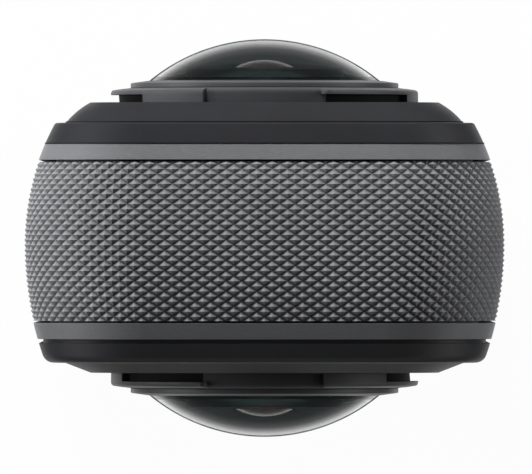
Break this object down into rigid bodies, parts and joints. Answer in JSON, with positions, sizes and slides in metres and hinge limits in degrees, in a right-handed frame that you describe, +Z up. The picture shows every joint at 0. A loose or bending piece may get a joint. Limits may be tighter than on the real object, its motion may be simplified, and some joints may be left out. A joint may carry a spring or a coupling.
{
  "type": "360 degree camera",
  "caption": "Slim upright camera body with a domed fisheye lens on each broad face, a knurled grip band round the edge, a rear touch screen, a hinged port door and a slide-out battery",
  "frame": {"origin": "on the standing plane, under the middle of the bounding box", "axes": "+Z up along the body, +Y out of the front lens, -Y out of the rear lens and the screen, X across"},
  "size_m": [0.046, 0.0384, 0.1245],
  "materials": {
    "frame_grey": "satin",
    "grip_black": "knurled, matt",
    "cover_black": "fine matt grain",
    "base_black": "matt",
    "mount_black": "anodised black, satin",
    "seal_black": "soft",
    "bezel_grey": "anodised, satin with a bright edge",
    "dome_glass": "coated, clear",
    "barrel_black": "light-absorbing",
    "inner_glass": "coated",
    "sensor_dark": "packaged chip",
    "bracket_metal": "bare",
    "board_green": "solder mask",
    "spreader_metal": "bare sheet",
    "display_dark": "dark panel",
    "screen_glass": "black glass, gloss",
    "inner_black": "moulded",
    "contact_gold": "plated",
    "socket_steel": "drawn shell",
    "mesh_dark": "fine mesh",
    "insert_steel": "turned",
    "magnet_nickel": "plated",
    "screw_steel": "blackened",
    "light_guide": "milky light guide",
    "door_black": "matt",
    "button_grey": "satin",
    "cell_wrap": "shrink wrap",
    "latch_grey": "ribbed",
    "card_black": "moulded"
  },
  "bodies": {
    "camera_body": {"mid_frame": "frame_grey", "grip_band": "grip_black", "front_cover": "cover_black", "rear_cover": "cover_black", "front_grip_pad": "grip_black", "base_plate": "base_black", "front_lens_mount": "mount_black", "rear_lens_mount": "mount_black", "front_lens_seal": "seal_black", "rear_lens_seal": "seal_black", "front_lens_barrel": "barrel_black", "rear_lens_barrel": "barrel_black", "front_inner_lens": "inner_glass", "rear_inner_lens": "inner_glass", "front_image_sensor": "sensor_dark", "rear_image_sensor": "sensor_dark", "sensor_bracket": "bracket_metal", "main_board": "board_green", "heat_spreader": "spreader_metal", "display_panel": "display_dark", "screen_glass": "screen_glass", "battery_bay": "inner_black", "battery_connector": "contact_gold", "port_bay": "frame_grey", "usb_socket": "socket_steel", "card_slot": "socket_steel", "control_panel": "cover_black", "side_button_board": "board_green", "button_board": "board_green", "speaker": "inner_black", "speaker_grille": "cover_black", "left_mic_mesh": "mesh_dark", "right_mic_mesh": "mesh_dark", "tripod_insert": "insert_steel", "base_magnets": "magnet_nickel", "base_screws": "screw_steel", "front_status_light": "light_guide", "rear_status_light": "light_guide", "usb_door_pin": "insert_steel"},
    "front_lens_unit": {"front_lens_bezel": "bezel_grey", "front_dome_glass": "dome_glass"},
    "rear_lens_unit": {"rear_lens_bezel": "bezel_grey", "rear_dome_glass": "dome_glass"},
    "usb_door_body": {"usb_door": "door_black", "usb_door_seal": "seal_black"},
    "shutter_button_body": {"shutter_button": "button_grey"},
    "lens_switch_button_body": {"lens_switch_button": "button_grey"},
    "power_button_body": {"power_button": "button_grey"},
    "quick_button_body": {"quick_button": "button_grey"},
    "battery_module": {"battery_case": "inner_black", "battery_cells": "cell_wrap", "battery_cap": "grip_black", "battery_contacts": "contact_gold", "battery_seal": "seal_black"},
    "upper_latch_body": {"upper_battery_latch": "latch_grey"},
    "lower_latch_body": {"lower_battery_latch": "latch_grey"},
    "memory_card_body": {"memory_card": "card_black"}
  },
  "joints": [
    {"name": "front_lens_twist", "type": "hinge", "parent": "camera_body", "child": "front_lens_unit", "pos_m": [0, 0.0145, 0.102], "axis": [0, 1, 0], "range_deg": [0, 30]},
    {"name": "rear_lens_twist", "type": "hinge", "parent": "camera_body", "child": "rear_lens_unit", "pos_m": [0, -0.0145, 0.102], "axis": [0, -1, 0], "range_deg": [0, 30]},
    {"name": "usb_door_hinge", "type": "hinge", "parent": "camera_body", "child": "usb_door_body", "pos_m": [-0.02148, -0.0052, 0.0795], "axis": [0, 0, 1], "range_deg": [0, 90]},
    {"name": "shutter_press", "type": "slide", "parent": "camera_body", "child": "shutter_button_body", "axis": [0, 1, 0], "range_m": [0, 0.0004], "stiffness_N_per_m": 2000, "springref_m": -0.0003},
    {"name": "lens_switch_press", "type": "slide", "parent": "camera_body", "child": "lens_switch_button_body", "axis": [0, 1, 0], "range_m": [0, 0.0004], "stiffness_N_per_m": 2000, "springref_m": -0.0003},
    {"name": "power_press", "type": "slide", "parent": "camera_body", "child": "power_button_body", "axis": [-1, 0, 0], "range_m": [0, 0.0004], "stiffness_N_per_m": 2000, "springref_m": -0.0003},
    {"name": "quick_press", "type": "slide", "parent": "camera_body", "child": "quick_button_body", "axis": [-1, 0, 0], "range_m": [0, 0.0004], "stiffness_N_per_m": 2000, "springref_m": -0.0003},
    {"name": "battery_slide", "type": "slide", "parent": "camera_body", "child": "battery_module", "axis": [-1, 0, 0], "range_m": [0, 0.036]},
    {"name": "upper_latch_slide", "type": "slide", "parent": "battery_module", "child": "upper_latch_body", "axis": [0, 0, -1], "range_m": [0, 0.0018], "stiffness_N_per_m": 500, "springref_m": -0.0006},
    {"name": "lower_latch_slide", "type": "slide", "parent": "battery_module", "child": "lower_latch_body", "axis": [0, 0, 1], "range_m": [0, 0.0018], "stiffness_N_per_m": 500, "springref_m": -0.0006},
    {"name": "card_press", "type": "slide", "parent": "camera_body", "child": "memory_card_body", "axis": [1, 0, 0], "range_m": [0, 0.0007], "stiffness_N_per_m": 1500, "springref_m": -0.0003}
  ]
}
